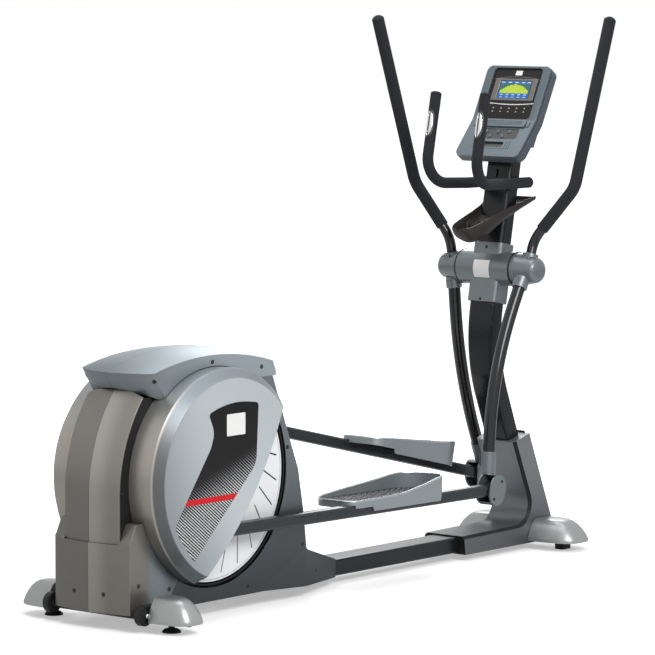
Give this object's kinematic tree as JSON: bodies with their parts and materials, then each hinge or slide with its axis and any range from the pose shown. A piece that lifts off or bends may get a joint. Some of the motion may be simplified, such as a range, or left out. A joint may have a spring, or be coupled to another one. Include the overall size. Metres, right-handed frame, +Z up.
{
  "type": "elliptical trainer",
  "caption": "Rear-drive elliptical trainer: swinging handlebars linked to pedal arms, fixed handlebar, console on a bent mast and a closed crank housing.",
  "frame": {"origin": "on the floor under the middle of the machine's box", "axes": "+X forwards towards the console, +Y to the user's left, +Z up"},
  "size_m": [2.121, 0.65, 1.7126],
  "materials": {
    "beam_paint": "dark grey satin powder coat on the base beam",
    "frame_black": "black satin powder coat on welded frame parts",
    "mast_black": "glossy black paint on the mast",
    "tube_black": "high gloss black paint on the swing tubes and fixed handlebar",
    "silver_housing": "champagne silver metallic paint on moulded plastic",
    "top_silver": "blue grey silver metallic paint on moulded plastic",
    "cover_silver": "light silver metallic paint with printed stripes",
    "well_black": "black moulded plastic inside the crank wells",
    "slate": "dark slate metallic plastic",
    "mast_slate": "purple grey metallic plastic",
    "trim_black": "black trim strip",
    "cap_silver": "silver metallic moulded end caps",
    "rubber_black": "black rubber of feet and pads",
    "wheel_black": "black nylon transport wheels",
    "cast_grey": "grey painted castings of the hub, knuckles and forks",
    "steel_bright": "ground steel shafts and bearings",
    "foam": "black closed-cell foam with fine pores",
    "arm_slate": "slate metallic paint on the pedal arms",
    "pedal_silver": "silver grey moulded pedals",
    "mat_black": "black textured rubber mats",
    "tray_black": "dark brown black moulded tray",
    "sensor_chrome": "chrome pulse sensor plates",
    "console_grey": "blue grey moulded console shell",
    "bezel_grey": "grey metallic console face with a printed fascia",
    "screen": "lit display behind a clear window",
    "key_plastic": "dark round keys",
    "disc_white": "white crank disc with dark radial slots",
    "crank_steel": "dark painted forged crank arms",
    "pulley_grey": "dark moulded drive pulley",
    "belt_rubber": "ribbed rubber drive belt",
    "rotor_copper": "copper coloured generator rotor",
    "idler_steel": "steel idler roller"
  },
  "bodies": {
    "frame": {"base_beam": "beam_paint", "rear_stabiliser": "frame_black", "front_stabiliser": "frame_black", "crank_frame": "frame_black", "mast": "mast_black", "base_shroud": "silver_housing", "rear_spine": "silver_housing", "top_cover": "top_silver", "side_panels": "well_black", "front_shroud": "slate", "beam_shroud": "slate", "crank_cover_right": "cover_silver", "crank_cover_left": "cover_silver", "mast_shroud": "mast_slate", "mast_trim": "trim_black", "rear_caps": "cap_silver", "front_caps": "cap_silver", "front_pads": "rubber_black", "hub_barrel": "cast_grey", "swing_axle": "steel_bright", "accessory_tray": "tray_black", "fixed_handlebar": "tube_black", "fixed_grips": "foam", "pulse_sensors": "sensor_chrome", "console_housing": "console_grey", "console_bezel": "bezel_grey", "console_screen": "screen", "crank_bearings": "steel_bright", "drive_belt": "belt_rubber"},
    "swing_right": {"knuckle_right": "cast_grey", "handlebar_right": "tube_black", "grip_right": "foam", "lever_right": "tube_black", "fork_right": "cast_grey"},
    "arm_right": {"pedal_arm_right": "arm_slate", "pedal_right": "pedal_silver", "pedal_mat_right": "mat_black"},
    "wheel_right": {"transport_wheel_right": "wheel_black"},
    "foot_right": {"levelling_foot_right": "rubber_black"},
    "swing_left": {"knuckle_left": "cast_grey", "handlebar_left": "tube_black", "grip_left": "foam", "lever_left": "tube_black", "fork_left": "cast_grey"},
    "arm_left": {"pedal_arm_left": "arm_slate", "pedal_left": "pedal_silver", "pedal_mat_left": "mat_black"},
    "wheel_left": {"transport_wheel_left": "wheel_black"},
    "foot_left": {"levelling_foot_left": "rubber_black"},
    "crank": {"crank_axle": "steel_bright", "crank_arms": "crank_steel", "crank_discs": "disc_white", "drive_pulley": "pulley_grey"},
    "generator": {"generator_rotor": "rotor_copper"},
    "idler": {"idler_roller": "idler_steel"},
    "resistance_up_key": {"resistance_up_key": "key_plastic"},
    "resistance_down_key": {"resistance_down_key": "key_plastic"},
    "mode_key": {"mode_key": "key_plastic"},
    "start_key": {"start_key": "key_plastic"},
    "stop_key": {"stop_key": "key_plastic"}
  },
  "joints": [
    {"name": "crank_spin", "type": "hinge", "parent": "frame", "child": "crank", "pos_m": [-0.688, 0, 0.404], "axis": [0, 1, 0], "continuous": true},
    {"name": "generator_spin", "type": "hinge", "parent": "frame", "child": "generator", "pos_m": [-0.452, 0, 0.218], "axis": [0, 1, 0], "continuous": true},
    {"name": "idler_spin", "type": "hinge", "parent": "frame", "child": "idler", "pos_m": [-0.46652, 0, 0.37576], "axis": [0, 1, 0], "continuous": true},
    {"name": "right_swing", "type": "hinge", "parent": "frame", "child": "swing_right", "pos_m": [0.80243, -0.15, 0.91], "axis": [0, 1, 0], "range_deg": [-33, 1]},
    {"name": "left_swing", "type": "hinge", "parent": "frame", "child": "swing_left", "pos_m": [0.80243, 0.15, 0.91], "axis": [0, 1, 0], "range_deg": [-1, 33]},
    {"name": "right_arm_pivot", "type": "hinge", "parent": "swing_right", "child": "arm_right", "pos_m": [0.57627, -0.175, 0.23593], "axis": [0, 1, 0], "range_deg": [-1.5, 46.5]},
    {"name": "left_arm_pivot", "type": "hinge", "parent": "swing_left", "child": "arm_left", "pos_m": [0.96695, 0.175, 0.2183], "axis": [0, 1, 0], "range_deg": [-46.5, 1.5]},
    {"name": "right_wheel_spin", "type": "hinge", "parent": "frame", "child": "wheel_right", "pos_m": [-1.0285, -0.178, 0.05], "axis": [0, 1, 0], "continuous": true},
    {"name": "right_foot_turn", "type": "hinge", "parent": "frame", "child": "foot_right", "pos_m": [-0.968, -0.23, 0.02], "axis": [0, 0, 1], "continuous": true},
    {"name": "left_wheel_spin", "type": "hinge", "parent": "frame", "child": "wheel_left", "pos_m": [-1.0285, 0.178, 0.05], "axis": [0, 1, 0], "continuous": true},
    {"name": "left_foot_turn", "type": "hinge", "parent": "frame", "child": "foot_left", "pos_m": [-0.968, 0.23, 0.02], "axis": [0, 0, 1], "continuous": true},
    {"name": "resistance_up_press", "type": "slide", "parent": "frame", "child": "resistance_up_key", "axis": [0.7547, 0, -0.6561], "range_m": [0, 0.0012], "stiffness_N_per_m": 400},
    {"name": "resistance_down_press", "type": "slide", "parent": "frame", "child": "resistance_down_key", "axis": [0.7547, 0, -0.6561], "range_m": [0, 0.0012], "stiffness_N_per_m": 400},
    {"name": "mode_press", "type": "slide", "parent": "frame", "child": "mode_key", "axis": [0.7547, 0, -0.6561], "range_m": [0, 0.0012], "stiffness_N_per_m": 400},
    {"name": "start_press", "type": "slide", "parent": "frame", "child": "start_key", "axis": [0.7547, 0, -0.6561], "range_m": [0, 0.0012], "stiffness_N_per_m": 400},
    {"name": "stop_press", "type": "slide", "parent": "frame", "child": "stop_key", "axis": [0.7547, 0, -0.6561], "range_m": [0, 0.0012], "stiffness_N_per_m": 400}
  ],
  "couplings": [
    {"joint": "generator_spin", "follows": "crank_spin", "ratio": 7.7273},
    {"joint": "idler_spin", "follows": "crank_spin", "ratio": -8.7},
    {"joint": "left_swing", "follows": "right_swing", "ratio": -1},
    {"joint": "right_arm_pivot", "follows": "right_swing", "ratio": -1.3897},
    {"joint": "left_arm_pivot", "follows": "right_swing", "ratio": 1.3897}
  ]
}
